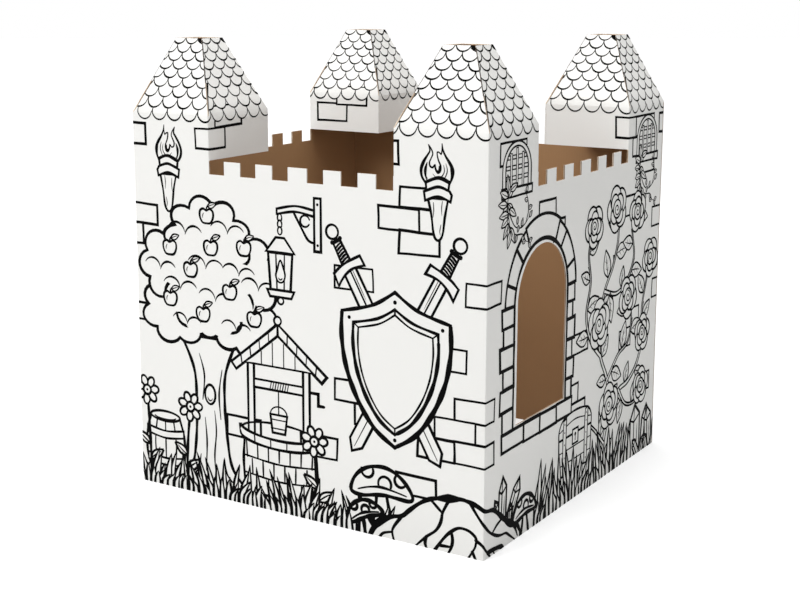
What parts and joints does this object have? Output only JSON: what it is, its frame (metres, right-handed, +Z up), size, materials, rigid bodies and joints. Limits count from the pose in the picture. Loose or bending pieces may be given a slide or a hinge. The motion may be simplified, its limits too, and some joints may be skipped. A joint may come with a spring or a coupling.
{
  "type": "cardboard play castle",
  "caption": "Corrugated cardboard play castle for a child: walls with battlements, square corner towers with hipped roofs and an arched window.",
  "frame": {"origin": "middle of the square plan, on the floor", "axes": "+Z up; +X out of the wall that has the window; -Y out of the front wall"},
  "size_m": [0.96, 0.96, 1.092],
  "materials": {
    "board": "matte white liner",
    "kraft": "matte brown liner",
    "ink": "matte black print"
  },
  "bodies": {
    "root": {"front_right_sheet": "board", "back_left_sheet": "board"}
  },
  "joints": []
}
